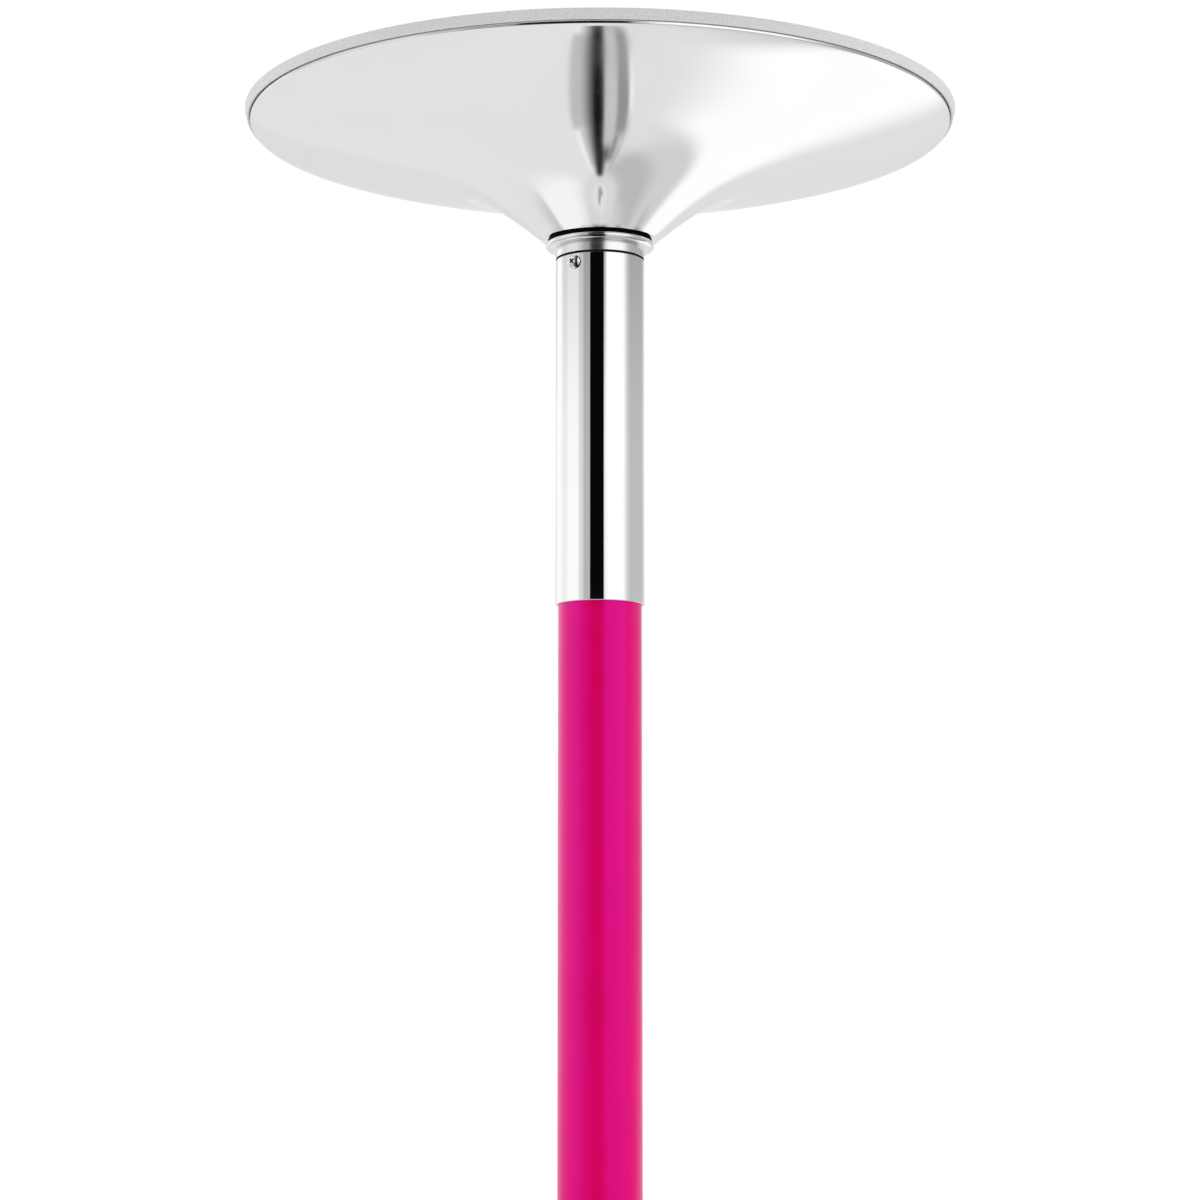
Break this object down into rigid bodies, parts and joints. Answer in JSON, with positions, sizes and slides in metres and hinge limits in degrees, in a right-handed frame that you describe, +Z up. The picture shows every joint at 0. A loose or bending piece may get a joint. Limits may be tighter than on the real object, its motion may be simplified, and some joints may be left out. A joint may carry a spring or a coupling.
{
  "type": "dance pole",
  "caption": "Spinning pole that a screw jack clamps between floor and ceiling, with a trumpet-shaped cover at each end and a coated grip tube between chrome sleeves.",
  "frame": {"origin": "on the floor, at the middle of the floor pad's underside", "axes": "+Z up along the pole's axis, -Y to the front"},
  "size_m": [0.388, 0.388, 2.4],
  "materials": {
    "chrome": "bright polished chrome plate",
    "pink_coat": "semi-gloss magenta powder coat on steel tube",
    "pad_rubber": "matte light grey, fine grain",
    "black_nylon": "matte black",
    "plate_steel": "plain machined steel",
    "thread_steel": "bright zinc plated",
    "bearing_steel": "ground and polished",
    "screw_steel": "bright zinc plated",
    "brass": "machined brass"
  },
  "bodies": {
    "base": {"floor_pad": "pad_rubber", "base_plate": "plate_steel", "base_bell": "chrome", "base_washer": "black_nylon", "base_collar": "chrome", "base_housing": "plate_steel", "housing_screw_1": "screw_steel", "housing_screw_2": "screw_steel", "housing_screw_3": "screw_steel", "housing_screw_4": "screw_steel", "base_bearing_outer": "bearing_steel", "thrust_race_lower": "bearing_steel"},
    "lock_1": {"lock_screw_1": "screw_steel"},
    "lock_2": {"lock_screw_2": "screw_steel"},
    "rotor": {"spindle": "thread_steel", "rotor_hub": "thread_steel", "base_bearing_inner": "bearing_steel", "base_bearing_balls": "bearing_steel", "thrust_race_upper": "bearing_steel", "thrust_balls": "bearing_steel"},
    "pole": {"thrust_ring": "brass", "lift_bush": "plate_steel", "bush_screw_1": "screw_steel", "bush_screw_2": "screw_steel", "bottom_sleeve": "chrome", "lower_tube": "pink_coat", "joint_core": "plate_steel", "joint_jaw_1": "plate_steel", "joint_jaw_2": "plate_steel", "joint_bolt_1": "screw_steel", "joint_bolt_2": "screw_steel", "upper_tube": "pink_coat", "top_sleeve": "chrome", "top_hub": "plate_steel", "hub_screw_1": "screw_steel", "hub_screw_2": "screw_steel", "top_bearing_outer": "bearing_steel", "spin_washer": "black_nylon"},
    "adjuster": {"jam_nut": "chrome", "adjuster_nut": "chrome"},
    "dome": {"ceiling_pad": "pad_rubber", "ceiling_plate": "plate_steel", "top_bell": "chrome", "bell_washer": "black_nylon", "top_collar": "chrome", "ceiling_post": "plate_steel", "post_screw_1": "screw_steel", "post_screw_2": "screw_steel", "post_screw_3": "screw_steel", "post_screw_4": "screw_steel", "top_bearing_inner": "bearing_steel", "top_bearing_balls": "bearing_steel", "bearing_bolt": "screw_steel"}
  },
  "joints": [
    {"name": "base_spin", "type": "hinge", "parent": "base", "child": "rotor", "pos_m": [0, 0, 0.05], "axis": [0, 0, 1], "continuous": true},
    {"name": "pole_lift", "type": "slide", "parent": "rotor", "child": "pole", "axis": [0, 0, 1], "range_m": [-0.03, 0.06]},
    {"name": "nut_turn", "type": "hinge", "parent": "pole", "child": "adjuster", "pos_m": [0, 0, 0.16], "axis": [0, 0, 1], "range_deg": [-2160, 4320]},
    {"name": "dome_spin", "type": "hinge", "parent": "pole", "child": "dome", "pos_m": [0, 0, 2.31], "axis": [0, 0, 1], "continuous": true},
    {"name": "lock_1_travel", "type": "slide", "parent": "base", "child": "lock_1", "axis": [-1, 0, 0], "range_m": [0, 0.0021]},
    {"name": "lock_2_travel", "type": "slide", "parent": "base", "child": "lock_2", "axis": [1, 0, 0], "range_m": [0, 0.0021]}
  ],
  "couplings": [
    {"joint": "nut_turn", "follows": "pole_lift", "rad_per_m": 1256.6}
  ]
}
